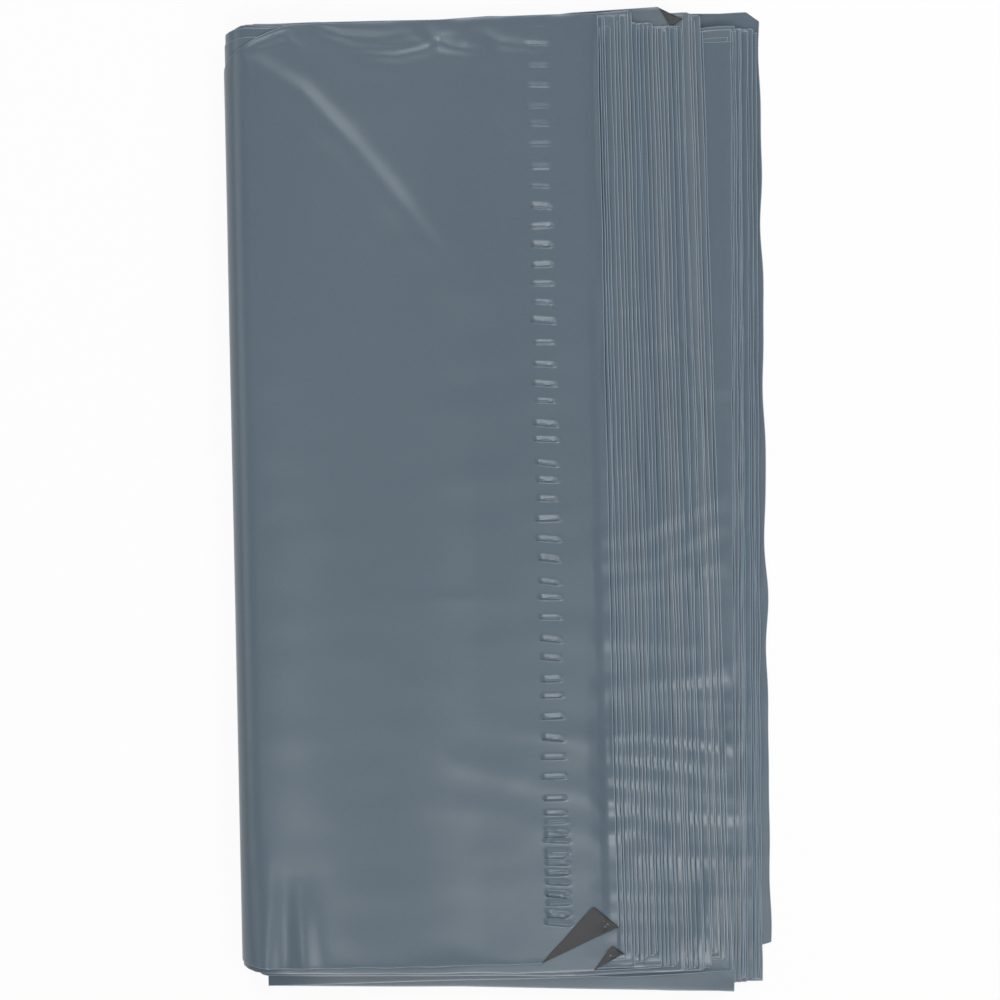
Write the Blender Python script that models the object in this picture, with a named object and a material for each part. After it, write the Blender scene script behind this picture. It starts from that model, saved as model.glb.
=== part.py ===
"""Folded bundle of poly mailer bags, lying flat.

Thirty bags lie on each other and are folded over together, once, so each bag
is a U in section: a lower half, a bend and an upper half. Bag 1 is the
outermost and bag 30 the innermost. Every bag ends in a lip of one ply beside
its mouth, and a release liner covers the adhesive under that lip.

Units are metres. The fold line runs along Y, the open ends point to +X and the
bundle rests on Z = 0. Each bag is laid out flat first: a runs from the lip
edge to the bottom edge, b runs across the bag, and n is the height off the
middle of its thickness, towards the outside of the fold.
"""
import math
import random

import bmesh
import bpy
from mathutils import Vector

# One bag, laid out flat
BAG_WIDTH = 0.428           # between the two welded sides
POCKET_LENGTH = 0.372       # from the mouth to the bottom edge
LIP_LENGTH = 0.050          # single ply past the mouth
FILM = 0.00007              # one ply
PLY_AIR = 0.00001           # air held between the two plies
MOUTH_STEP = 0.0004         # length of the step from one ply to two
LIP_DRAW_IN = 0.0018        # how far the puckered adhesive pulls in each end of the lip

# Release liner and the adhesive that holds it
LINER_WIDTH = 0.0115
LINER_THICKNESS = 0.00005
ADHESIVE = 0.00002
LINER_FROM_LIP = 0.0210     # lip edge to the near side of the liner
LINER_MARGIN_TOP = 0.006    # bare lip past the liner at its +Y end
LINER_MARGIN_BOTTOM = 0.015

# The stack
BAG_COUNT = 30
LAYER_GAP = 0.000055        # air between two bags at the open ends
FOLD_SLACK = 0.000195       # further air between two bags at the fold
LIP_TO_FOLD_OUTER = 0.1773  # lip edge to fold line, outermost bag
LIP_TO_FOLD_INNER = 0.2085  # the same on the innermost bag
TAPER_MARGIN = 0.008        # clear of the mouths, where the stack stops thinning
TAPER_STEPS = (0.0, 0.12, 0.28, 0.46, 0.68, 1.0)
BEND_SEGMENTS = 8
END_LIFT = 0.00045          # rise of the open end over the corners folded under it

# How the bags lie in the stack
SEED = 11
SKEW_OUTER = math.radians(0.25)     # turn of the outermost bag on the fold line
SKEW_SECOND = math.radians(0.50)
SKEW_INNER = math.radians(0.85)
SKEW_SPREAD = math.radians(0.12)
SHIFT_STACK = -0.0008               # place of a bag along the fold line
SHIFT_SPREAD = 0.0038
HIGH_BAG = 25                       # this bag's corner is folded over the next ones outwards
LOW_BAGS = range(17, HIGH_BAG)      # and these lie lower than it
LOW_SHIFT = -0.0053
LOW_SPREAD = 0.0003
OWN_SHIFT = {1: 0.0020, 2: -0.0034, HIGH_BAG: 0.0018, BAG_COUNT: -0.0080}
SLIP_SPREAD = 0.0006                # uneven spacing of the lips
CUT_SPREAD = 0.0010                 # uneven cut lengths and widths
OUTER_LONGER = 0.0029               # the outermost bag was cut this much longer
OUTER_WIDER = 0.0019                # and this much wider
DRAW_IN = 0.0025                    # how far the sides pull in round the bend
INNER_DRAW_IN = 0.0025              # the same on the innermost bag, which has the tightest bend
OUTER_DRAW_IN = 0.0150              # the same on the outermost bag, +Y side only
OUTER_DRAW_LENGTH = 0.022           # reach of that pull past the bend, along the top
OUTER_SIDE_PULL = 0.0022            # milder pull of the same side, fading along the top

# Corners folded over: bag number, end, side, leg along the side, leg along the end
DOG_EARS = (
    (1, "lip", -1, 0.0366, 0.0152),
    (2, "lip", -1, 0.0168, 0.0072),
    (HIGH_BAG, "lip", 1, 0.0125, 0.0064),
    (1, "bottom", -1, 0.0330, 0.0100),
    (1, "bottom", 1, 0.0060, 0.0045),
)
EAR_LIFT = 0.00010          # air under the tip of a folded corner
HIGH_EAR_LIFT = 0.0014      # the same where the corner lies over other bags
EAR_BULGE = 0.00015         # how far the crease of a folded corner stands out

BAG_THICKNESS = 2 * FILM + PLY_AIR
LIP_STACK = FILM + ADHESIVE + LINER_THICKNESS
END_PITCH = max(BAG_THICKNESS, LIP_STACK) + LAYER_GAP
FOLD_PITCH = END_PITCH + FOLD_SLACK
OUTER_FACE = BAG_THICKNESS / 2
LIP_INNER_FACE = OUTER_FACE - FILM


def bend_radius(number):
    """Radius of a bag's bend, at the middle of its thickness."""
    return (BAG_COUNT - number + 0.5) * FOLD_PITCH


def taper_length():
    """Distance from the bend in which the stack thins to its end pitch."""
    outer_mouth = LIP_TO_FOLD_OUTER - LIP_LENGTH - math.pi / 2 * bend_radius(1)
    return outer_mouth - TAPER_MARGIN


def pitch_at(u):
    """Layer pitch at distance u from the bend, eased between fold and end."""
    share = min(u / taper_length(), 1.0)
    ease = share * share * (3 - 2 * share)
    return FOLD_PITCH + (END_PITCH - FOLD_PITCH) * ease


def stack_shift(number, chance):
    """Place of a bag along the fold line, with its share of the uneven stacking."""
    if number in OWN_SHIFT:
        return OWN_SHIFT[number]
    if number in LOW_BAGS:
        return LOW_SHIFT + chance * LOW_SPREAD
    return SHIFT_STACK + chance * SHIFT_SPREAD


def lift_at(u):
    """Height of the lowest layer over the ground at distance u from the bend."""
    start = taper_length()
    outer_end = LIP_LENGTH + POCKET_LENGTH - LIP_TO_FOLD_OUTER - math.pi / 2 * bend_radius(1)
    return END_LIFT * max(u - start, 0.0) / (outer_end - start)


class Bag:
    """Where one bag lies: its cut size, its slip, shift and turn on the fold line."""

    def __init__(self, number, chance):
        depth = (number - 1) / max(BAG_COUNT - 1, 1)
        slip = chance.uniform(-SLIP_SPREAD, SLIP_SPREAD)
        skew = chance.uniform(-SKEW_SPREAD, SKEW_SPREAD)
        longer = chance.uniform(-CUT_SPREAD, CUT_SPREAD)
        wider = chance.uniform(-CUT_SPREAD, CUT_SPREAD)
        if number == 1:
            slip, skew = 0.0, SKEW_OUTER - SKEW_SECOND
            longer, wider = OUTER_LONGER, OUTER_WIDER
        self.number = number
        self.radius = bend_radius(number)
        self.to_fold = LIP_TO_FOLD_OUTER + depth * (LIP_TO_FOLD_INNER - LIP_TO_FOLD_OUTER) + slip
        self.length = LIP_LENGTH + POCKET_LENGTH + longer
        self.half_width = (BAG_WIDTH + wider) / 2
        self.skew = SKEW_SECOND + depth * (SKEW_INNER - SKEW_SECOND) + skew
        self.shift = stack_shift(number, chance.uniform(-1, 1))

    def a_on(self, s, b):
        """Place along the bag of the line at distance s from the fold line."""
        return self.to_fold - (s + b * math.sin(self.skew)) / math.cos(self.skew)

    def point(self, a, b, n):
        """Point of the folded bag for the flat place a, b at height n."""
        along = self.to_fold - a
        s = along * math.cos(self.skew) - b * math.sin(self.skew)
        y = self.shift + along * math.sin(self.skew) + b * math.cos(self.skew)
        quarter = math.pi / 2 * self.radius
        middle = OUTER_FACE + (BAG_COUNT - 0.5) * FOLD_PITCH
        if abs(s) <= quarter:
            turn = s / self.radius
            out = self.radius + n
            return Vector((-out * math.cos(turn), y, middle + out * math.sin(turn)))
        u = abs(s) - quarter
        layers = 2 * BAG_COUNT - self.number if s > 0 else self.number - 1
        height = OUTER_FACE + lift_at(u) + layers * pitch_at(u)
        return Vector((u, y, height + (n if s > 0 else -n)))

    def stations(self):
        """Distances from the fold line of the bag's rows, lip side first."""
        quarter = math.pi / 2 * self.radius
        reach = taper_length()
        flats = [quarter + share * reach for share in TAPER_STEPS]
        turns = [quarter * (1 - 2 * i / BEND_SEGMENTS) for i in range(1, BEND_SEGMENTS)]
        return flats[::-1] + turns + [-s for s in flats]

    def side(self, s, sign):
        """Where the bag's side lies on the row at s, drawn in round the bend."""
        quarter = math.pi / 2 * self.radius
        pull = DRAW_IN * math.cos(min(abs(s) / quarter, 1.0) * math.pi / 2) ** 2
        if self.number == BAG_COUNT:
            pull = INNER_DRAW_IN * max(1 - abs(s) / taper_length(), 0.0) ** 2
        if self.number == 1 and sign > 0 and s > -quarter:
            near = max(1 - max(s, 0.0) / (quarter + OUTER_DRAW_LENGTH), 0.0)
            far = 1 - max(s, 0.0) / (quarter + taper_length())
            fade = min(1 + s / quarter, 1.0)
            pull = (OUTER_DRAW_IN * near ** 2 + OUTER_SIDE_PULL * far) * fade
        return sign * (self.half_width - pull)


def ring(bm, bag, row, inner_n):
    """Four corners of the bag's section on one row of two flat places."""
    (a_low, b_low), (a_high, b_high) = row
    corners = (
        (a_low, b_low, OUTER_FACE),
        (a_high, b_high, OUTER_FACE),
        (a_high, b_high, inner_n),
        (a_low, b_low, inner_n),
    )
    return [bm.verts.new(bag.point(*corner)) for corner in corners]


def bridge(bm, first, second):
    """Close the four walls between two rings."""
    for i in range(4):
        j = (i + 1) % 4
        bm.faces.new((first[i], first[j], second[j], second[i]))


def fold_row(bag, s):
    """The row of the bag that runs along the fold line at distance s from it."""
    low, high = bag.side(s, -1), bag.side(s, 1)
    return (bag.a_on(s, low), low), (bag.a_on(s, high), high)


def ears_of(number, end):
    """Folded corners at one end of a bag, by side."""
    return {ear[2]: ear[3:] for ear in DOG_EARS if ear[0] == number and ear[1] == end}


def end_outline(bag, end):
    """Outline of a bag's end from its -b side to its +b side, less folded corners."""
    edge_a, inward = (0.0, 1) if end == "lip" else (bag.length, -1)
    ears = ears_of(bag.number, end)
    outline, creases = [], []
    for side in (-1, 1):
        corner = [(edge_a, side * end_half_width(bag, 0.0, end))]
        if side in ears:
            leg_side, leg_end = ears[side]
            corner = [
                (edge_a + inward * leg_side, side * end_half_width(bag, leg_side, end)),
                (edge_a, side * (end_half_width(bag, 0.0, end) - leg_end)),
            ]
            creases.append(len(outline))
        outline += corner if side < 0 else corner[::-1]
    return outline, creases


def end_half_width(bag, from_end, end):
    """Half the bag's width near one end, where a lip is drawn in towards its edge."""
    if end == "lip":
        return bag.half_width - LIP_DRAW_IN * (1 - from_end / LIP_LENGTH)
    return bag.half_width


def mirrored_corner(first, second, corner):
    """The corner's place after it is folded over the crease from first to second."""
    crease = Vector(second) - Vector(first)
    reach = Vector(corner) - Vector(first)
    foot = Vector(first) + crease * (reach.dot(crease) / crease.length_squared)
    return foot * 2 - Vector(corner), (Vector(corner) - foot).normalized()


def add_ear(bm, bag, places, outer, inner, end):
    """Fold a corner over the crease between two outline places, towards the outside."""
    edge_a = 0.0 if end == "lip" else bag.length
    side = math.copysign(1, places[0][1])
    corner = (edge_a, side * end_half_width(bag, 0.0, end))
    tip, outwards = mirrored_corner(places[0], places[1], corner)
    thick = FILM if end == "lip" else BAG_THICKNESS
    lift = HIGH_EAR_LIFT if bag.number == HIGH_BAG else EAR_LIFT
    high_n = OUTER_FACE + thick
    bulges, highs = [], []
    for place in places:
        out = Vector(place) + outwards * EAR_BULGE
        bulges.append(bm.verts.new(bag.point(out.x, out.y, OUTER_FACE)))
        highs.append(bm.verts.new(bag.point(place[0], place[1], high_n)))
    tip_low = bm.verts.new(bag.point(tip.x, tip.y, OUTER_FACE + lift))
    tip_high = bm.verts.new(bag.point(tip.x, tip.y, high_n + lift))
    faces = [
        (inner[0], inner[1], bulges[1], bulges[0]),
        (bulges[0], bulges[1], highs[1], highs[0]),
        (highs[0], highs[1], tip_high),
        (outer[0], outer[1], tip_low),
    ]
    for i in (0, 1):
        faces.append((inner[i], bulges[i], outer[i]))
        faces.append((outer[i], bulges[i], highs[i]))
        faces.append((outer[i], tip_low, tip_high, highs[i]))
    for face in faces:
        bm.faces.new(face)


def close_end(bm, bag, last, inner_n, end):
    """Flat panel from the last ring to the end of the bag, with its folded corners."""
    outline, creases = end_outline(bag, end)
    outer = [bm.verts.new(bag.point(a, b, OUTER_FACE)) for a, b in outline]
    inner = [bm.verts.new(bag.point(a, b, inner_n)) for a, b in outline]
    bm.faces.new([last[0]] + outer + [last[1]])
    bm.faces.new([last[3]] + inner + [last[2]])
    bm.faces.new((last[0], outer[0], inner[0], last[3]))
    bm.faces.new((last[1], outer[-1], inner[-1], last[2]))
    for i in range(len(outline) - 1):
        pair = slice(i, i + 2)
        if i in creases:
            add_ear(bm, bag, outline[pair], outer[pair], inner[pair], end)
        else:
            bm.faces.new((outer[i], outer[i + 1], inner[i + 1], inner[i]))


def bag_mesh(bag):
    """One bag as a closed sheet: lip, mouth step, two plies, bend and bottom edge."""
    bm = bmesh.new()
    half = bag.half_width
    lip_end = ring(bm, bag, ((LIP_LENGTH, -half), (LIP_LENGTH, half)), LIP_INNER_FACE)
    past = LIP_LENGTH + MOUTH_STEP
    rings = [lip_end, ring(bm, bag, ((past, -half), (past, half)), -OUTER_FACE)]
    for s in bag.stations():
        rings.append(ring(bm, bag, fold_row(bag, s), -OUTER_FACE))
    for first, second in zip(rings, rings[1:]):
        bridge(bm, first, second)
    close_end(bm, bag, rings[0], LIP_INNER_FACE, "lip")
    close_end(bm, bag, rings[-1], -OUTER_FACE, "bottom")
    return finish_mesh(bm, f"mailer_bag_{bag.number:02d}")


def liner_mesh(bag):
    """The release liner under the bag's lip, with the adhesive's thickness above it."""
    bm = bmesh.new()
    top = LIP_INNER_FACE - ADHESIVE
    low = -bag.half_width + LINER_MARGIN_BOTTOM
    high = bag.half_width - LINER_MARGIN_TOP
    sections = []
    for a in (LINER_FROM_LIP, LINER_FROM_LIP + LINER_WIDTH):
        corners = ((low, top), (high, top), (high, top - LINER_THICKNESS), (low, top - LINER_THICKNESS))
        sections.append([bm.verts.new(bag.point(a, b, n)) for b, n in corners])
    bridge(bm, *sections)
    for section in sections:
        bm.faces.new(section)
    return finish_mesh(bm, f"release_liner_{bag.number:02d}")


def finish_mesh(bm, name):
    """Turn the faces outwards and hand over a mesh that shades smooth over the bend."""
    bmesh.ops.recalc_face_normals(bm, faces=bm.faces)
    mesh = bpy.data.meshes.new(name)
    bm.to_mesh(mesh)
    bm.free()
    mesh.shade_smooth()
    mesh.set_sharp_from_angle(angle=math.radians(30))
    return mesh


def make_material(name, colour, roughness):
    """Plain plastic film of one colour."""
    material = bpy.data.materials.new(name)
    material.use_nodes = True
    shader = material.node_tree.nodes["Principled BSDF"]
    shader.inputs["Base Color"].default_value = (*colour, 1.0)
    shader.inputs["Roughness"].default_value = roughness
    shader.inputs["Metallic"].default_value = 0.0
    return material


def add_object(mesh, material, parent):
    """Place a mesh in the bundle."""
    mesh.materials.append(material)
    piece = bpy.data.objects.new(mesh.name, mesh)
    piece.parent = parent
    bpy.context.collection.objects.link(piece)


def centre_on_ground(bundle, meshes):
    """Move the bundle so that the middle of its footprint lies on the origin."""
    points = [vertex.co for mesh in meshes for vertex in mesh.vertices]
    low = [min(point[axis] for point in points) for axis in range(3)]
    high = [max(point[axis] for point in points) for axis in range(3)]
    bundle.location = (-(low[0] + high[0]) / 2, -(low[1] + high[1]) / 2, -low[2])


def main():
    for old in list(bpy.data.objects):
        bpy.data.objects.remove(old)
    bundle = bpy.data.objects.new("bundle", None)
    bpy.context.collection.objects.link(bundle)
    film = make_material("grey_film", (0.125, 0.155, 0.180), 0.38)
    release = make_material("release_film", (0.62, 0.64, 0.66), 0.45)
    chance = random.Random(SEED)
    meshes = []
    for number in range(1, BAG_COUNT + 1):
        bag = Bag(number, chance)
        for mesh, material in ((bag_mesh(bag), film), (liner_mesh(bag), release)):
            add_object(mesh, material, bundle)
            meshes.append(mesh)
    centre_on_ground(bundle, meshes)


main()
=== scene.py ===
# %% [markdown]
# # A folded bundle of poly mailer bags
#
# Thirty empty mailers of grey film lie on each other and are folded over together,
# once. This lesson gives the bundle its looks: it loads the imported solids, which stay
# the frame that everything is placed by, and then puts a finer sheet of film in the
# place of each bag.

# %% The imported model
import math
import random

import bmesh
import bpy
import numpy as np
from mathutils import Matrix, Vector


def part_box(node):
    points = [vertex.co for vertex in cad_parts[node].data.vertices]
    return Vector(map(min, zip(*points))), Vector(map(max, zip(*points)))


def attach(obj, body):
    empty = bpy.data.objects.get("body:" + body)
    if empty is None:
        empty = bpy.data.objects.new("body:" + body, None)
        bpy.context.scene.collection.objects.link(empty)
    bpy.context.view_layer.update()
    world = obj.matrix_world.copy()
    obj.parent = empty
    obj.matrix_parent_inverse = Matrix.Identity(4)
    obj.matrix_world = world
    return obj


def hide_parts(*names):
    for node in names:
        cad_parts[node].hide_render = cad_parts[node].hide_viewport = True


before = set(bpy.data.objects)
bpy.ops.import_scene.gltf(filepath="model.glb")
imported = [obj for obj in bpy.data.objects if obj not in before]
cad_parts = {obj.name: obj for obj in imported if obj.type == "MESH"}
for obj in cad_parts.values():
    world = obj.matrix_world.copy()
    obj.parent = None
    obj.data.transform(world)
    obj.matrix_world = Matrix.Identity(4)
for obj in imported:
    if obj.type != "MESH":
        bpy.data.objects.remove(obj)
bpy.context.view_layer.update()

print("CAD nodes:", len(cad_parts))

# %% [markdown]
# ## How the bags lie
#
# Each bag is thought of as laid out flat first: `a` runs from the edge of its lip to
# its bottom edge, `b` runs across it, and `n` is the height off the middle of its
# thickness, towards the outside of the fold. The sizes are those of the solids, so the
# fine sheets land where the solids are. A bag could also be unwrapped from its solid's
# triangles, but a rule with names is easier to read and to refine.

# %% Sizes of a bag and of the stack, in metres
BAG_WIDTH = 0.428
POCKET_LENGTH = 0.372
LIP_LENGTH = 0.050
FILM = 0.00007
PLY_AIR = 0.00001
MOUTH_STEP = 0.0004
LIP_DRAW_IN = 0.0018
LINER_WIDTH = 0.0115
LINER_THICKNESS = 0.00005
ADHESIVE = 0.00002
LINER_FROM_LIP = 0.0210
LINER_MARGIN_TOP = 0.006
LINER_MARGIN_BOTTOM = 0.015

BAG_COUNT = 30
LAYER_GAP = 0.000055
FOLD_SLACK = 0.000195
LIP_TO_FOLD_OUTER = 0.1773
LIP_TO_FOLD_INNER = 0.2085
TAPER_MARGIN = 0.008
END_LIFT = 0.00045

BAG_THICKNESS = 2 * FILM + PLY_AIR
LIP_STACK = FILM + ADHESIVE + LINER_THICKNESS
END_PITCH = max(BAG_THICKNESS, LIP_STACK) + LAYER_GAP
FOLD_PITCH = END_PITCH + FOLD_SLACK
OUTER_FACE = BAG_THICKNESS / 2
LIP_INNER_FACE = OUTER_FACE - FILM
print("a bag is", BAG_THICKNESS * 1000, "mm thick; layers repeat every", round(END_PITCH * 1000, 3),
      "mm at the ends and", round(FOLD_PITCH * 1000, 3), "mm at the fold")

# %% Place of each bag in the stack
SEED = 11
SKEW_OUTER = math.radians(0.25)
SKEW_SECOND = math.radians(0.50)
SKEW_INNER = math.radians(0.85)
SKEW_SPREAD = math.radians(0.12)
SHIFT_STACK = -0.0008
SHIFT_SPREAD = 0.0038
HIGH_BAG = 25
LOW_BAGS = range(17, HIGH_BAG)
LOW_SHIFT = -0.0053
LOW_SPREAD = 0.0003
OWN_SHIFT = {1: 0.0020, 2: -0.0034, HIGH_BAG: 0.0018, BAG_COUNT: -0.0080}
SLIP_SPREAD = 0.0006
CUT_SPREAD = 0.0010
OUTER_LONGER = 0.0029
OUTER_WIDER = 0.0019
BUNDLE_PLACE = np.array((-0.1091, 0.00357, 0.0))

# the lower halves have slid a little further: where their +Y corners lie
DRIFT_REACH = 0.20
LOW_CORNER = 0.2107
LOW_CORNER_SPREAD = 0.0009
OWN_LOW_CORNER = {1: 0.2192, BAG_COUNT - 1: 0.2078, BAG_COUNT: 0.2058}
print("the fold line's middle lies at, mm:", (BUNDLE_PLACE * 1000).round(1))

# %% [markdown]
# The layers are loose at the fold and pressed together at the open ends. A few small
# rules say how the stack thins on the way, and where each bag lies along the fold.

# %% How the stack thins
def bend_radius(number):
    """Radius of a bag's bend, at the middle of its thickness."""
    return (BAG_COUNT - number + 0.5) * FOLD_PITCH


def taper_length():
    """Distance from the bend in which the stack thins to its end pitch."""
    return LIP_TO_FOLD_OUTER - LIP_LENGTH - math.pi / 2 * bend_radius(1) - TAPER_MARGIN


def pitch_at(u):
    """Layer pitch at distance u from the bend."""
    share = np.clip(u / taper_length(), 0, 1)
    return FOLD_PITCH + (END_PITCH - FOLD_PITCH) * share * share * (3 - 2 * share)


def lift_at(u):
    """Height of the lowest layer over the ground at distance u from the bend."""
    start = taper_length()
    outer_end = LIP_LENGTH + POCKET_LENGTH - LIP_TO_FOLD_OUTER - math.pi / 2 * bend_radius(1)
    return END_LIFT * np.clip(u - start, 0, None) / (outer_end - start)


def stack_shift(number, chance):
    """Place of a bag along the fold line."""
    if number in OWN_SHIFT:
        return OWN_SHIFT[number]
    if number in LOW_BAGS:
        return LOW_SHIFT + chance * LOW_SPREAD
    return SHIFT_STACK + chance * SHIFT_SPREAD


print("the stack thins over, mm:", round(taper_length() * 1000, 1))

# %% [markdown]
# Film that goes round a bend is pulled in at its sides. How far differs from bag to bag:
# the outermost one most, at its upper corner, and the one that stands out at the upper
# side flares out instead. Each such pull has a size, and a reach over which it fades.

# %% How far the sides are drawn in
DRAW_IN = 0.0025
INNER_DRAW_IN = 0.0025
INNER_LOW_SIDE = 0.0011
OUTER_DRAW_IN = 0.0212
OUTER_DRAW_LENGTH = 0.0235
OUTER_DRAW_CURVE = 1.6
OUTER_SIDE_PULL = 0.0036
OUTER_LOW_PULL = 0.0019
OUTER_LOW_REACH = 0.075
WAIST = 0.0025
WAIST_REACH = 0.022
LOW_SIDE_PULL = 0.0044
LOW_SIDE_REACH = 0.15
HIGH_WAIST = 0.0018
HIGH_FLARE = 0.0032
HIGH_FLARE_REACH = 0.035
SIDE_CURVE = 1.5


def outer_corner_pull(s, quarter, to_fold):
    """How far the outermost bag's upper side is drawn in, most at the fold."""
    upper = np.clip(s, 0, None)
    near = np.clip(1 - upper / (quarter + OUTER_DRAW_LENGTH), 0, 1)
    far = 1 - np.clip(upper / to_fold, 0, 1) ** 2
    fade = np.clip(1 + s / quarter, 0, 1)
    return (OUTER_DRAW_IN * near ** OUTER_DRAW_CURVE + OUTER_SIDE_PULL * far) * fade


print("the outermost corner is drawn in by, mm:",
      round(float(outer_corner_pull(0.0, 0.02, LIP_TO_FOLD_OUTER)) * 1000, 1))


# %% One bag
class Bag:
    """Where one bag lies: its cut size, its slip, shift and turn on the fold line."""

    def __init__(self, number, chance):
        depth = (number - 1) / (BAG_COUNT - 1)
        slip = chance.uniform(-SLIP_SPREAD, SLIP_SPREAD)
        skew = chance.uniform(-SKEW_SPREAD, SKEW_SPREAD)
        longer = chance.uniform(-CUT_SPREAD, CUT_SPREAD)
        wider = chance.uniform(-CUT_SPREAD, CUT_SPREAD)
        if number == 1:
            slip, skew = 0.0, SKEW_OUTER - SKEW_SECOND
            longer, wider = OUTER_LONGER, OUTER_WIDER
        self.number = number
        self.radius = bend_radius(number)
        self.to_fold = LIP_TO_FOLD_OUTER + depth * (LIP_TO_FOLD_INNER - LIP_TO_FOLD_OUTER) + slip
        self.length = LIP_LENGTH + POCKET_LENGTH + longer
        self.half_width = (BAG_WIDTH + wider) / 2
        self.skew = SKEW_SECOND + depth * (SKEW_INNER - SKEW_SECOND) + skew
        self.shift = stack_shift(number, chance.uniform(-1, 1))
        self.drift = 0.0

    def s_at(self, a, b):
        """Distance from the fold line, positive on the lip's side."""
        return (self.to_fold - a) * math.cos(self.skew) - b * math.sin(self.skew)

    def a_on(self, s, b):
        """Place along the bag of the line at distance s from the fold line."""
        return self.to_fold - (s + b * math.sin(self.skew)) / math.cos(self.skew)

    def drawn_in(self, s, sign):
        """How far one side lies inside its cut line at s."""
        if self.number == BAG_COUNT and sign < 0:
            return INNER_LOW_SIDE
        if self.number == BAG_COUNT:
            return INNER_DRAW_IN * np.clip(1 - np.abs(s) / taper_length(), 0, 1) ** 2
        to_open = np.where(s > 0, self.to_fold - s, self.length - self.to_fold + s)
        to_open = np.clip(to_open, 0, None)
        if self.number == HIGH_BAG and sign > 0:
            return HIGH_WAIST - HIGH_FLARE * np.exp(-(to_open / HIGH_FLARE_REACH) ** SIDE_CURVE)
        quarter = math.pi / 2 * self.radius
        pull = DRAW_IN * np.cos(np.clip(np.abs(s) / quarter, 0, 1) * math.pi / 2) ** 2
        if self.number > 1 and sign > 0:
            return pull + WAIST * (1 - np.exp(-(to_open / WAIST_REACH) ** 2))
        if self.number > 1:
            return pull + LOW_SIDE_PULL * np.clip(1 - np.abs(s) / LOW_SIDE_REACH, 0, 1) ** SIDE_CURVE
        if sign < 0:
            return pull + OUTER_LOW_PULL * np.clip(1 - np.abs(s) / OUTER_LOW_REACH, 0, 1)
        return np.where(s > -quarter, outer_corner_pull(s, quarter, self.to_fold), pull)

    def half_at(self, s, sign):
        """Half the bag's width at s, on one side."""
        lip = np.clip(1 - (self.to_fold - s) / LIP_LENGTH, 0, 1)
        return self.half_width - self.drawn_in(s, sign) - LIP_DRAW_IN * lip

    def drift_at(self, u):
        """How far the lower half has slid along the fold, at distance u from the bend."""
        away = np.clip(u / DRIFT_REACH, 0, 1)
        return self.drift * away * away * (3 - 2 * away)

    def place(self, flat):
        """Points of the folded bag for an array of flat places a, b at heights n."""
        a, b, n = flat.T
        along = self.to_fold - a
        s = along * math.cos(self.skew) - b * math.sin(self.skew)
        y = self.shift + along * math.sin(self.skew) + b * math.cos(self.skew)
        quarter = math.pi / 2 * self.radius
        middle = OUTER_FACE + (BAG_COUNT - 0.5) * FOLD_PITCH
        turn = np.clip(s / self.radius, -math.pi / 2, math.pi / 2)
        u = np.clip(np.abs(s) - quarter, 0, None)
        y = y + np.where(s < 0, self.drift_at(u), 0.0)
        layers = np.where(s > 0, 2 * BAG_COUNT - self.number, self.number - 1)
        panel = OUTER_FACE + lift_at(u) + layers * pitch_at(u) + np.where(s > 0, n, -n)
        bent = np.abs(s) <= quarter
        x = np.where(bent, -(self.radius + n) * np.cos(turn), u)
        z = np.where(bent, middle + (self.radius + n) * np.sin(turn), panel)
        return np.stack((x, y, z), axis=1) + BUNDLE_PLACE

    def unfold(self, x, y, upper):
        """The flat place a, b and the distance s under a point of one of the halves."""
        u = x - BUNDLE_PLACE[0]
        s = (u + math.pi / 2 * self.radius) * (1 if upper else -1)
        y = y - BUNDLE_PLACE[1] - self.shift
        if not upper:
            y = y - self.drift_at(u)
        along = s * math.cos(self.skew) + y * math.sin(self.skew)
        return self.to_fold - along, y * math.cos(self.skew) - s * math.sin(self.skew), s


# %% The thirty bags
chance = random.Random(SEED)
bags = [Bag(number, chance) for number in range(1, BAG_COUNT + 1)]
for bag in bags:
    corner = bag.place(np.array([[bag.length, bag.half_width, 0.0]]))[0, 1]
    wanted = OWN_LOW_CORNER.get(bag.number, LOW_CORNER + chance.uniform(-1, 1) * LOW_CORNER_SPREAD)
    bag.drift = wanted - corner
print("lower corners moved by, mm:", [round(bag.drift * 1000, 1) for bag in bags])
print("bags laid out:", len(bags), "outermost bend radius mm:", round(bags[0].radius * 1000, 2))

# %% [markdown]
# ## One sheet of film, laid out flat
#
# A bag is a closed thin sheet: its outer face, its inner face and the narrow rim
# between them. The sheet is meshed flat, in rows that run across the bag. The rows lie
# close together where the film shows its edge or bends, and far apart where other bags
# hide it. A row may also be cut finer than its neighbour; the faces between such rows
# then have more than four corners, which saves thousands of faces.

# %% Rows and columns
ROW_MARGIN = 0.008      # between the last row along an edge and the first along the fold
FINE_BEND = 0.045       # how far past its bend the outermost bag has fine rows


def spread(start, stop, step):
    """Even values from start to stop, no further apart than step."""
    count = max(int(math.ceil(abs(stop - start) / step)), 1)
    return list(np.linspace(start, stop, count + 1))


def across(step, edge_steps):
    """Shares of the half width for a row's points, closer together at both sides."""
    half = BAG_WIDTH / 2
    sides = [1 - offset / half for offset in edge_steps]
    inner = sides[-1]
    middle = spread(-inner, inner, step / half)
    return np.array([-side for side in sides[:-1]] + middle + sides[:-1][::-1])


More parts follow.
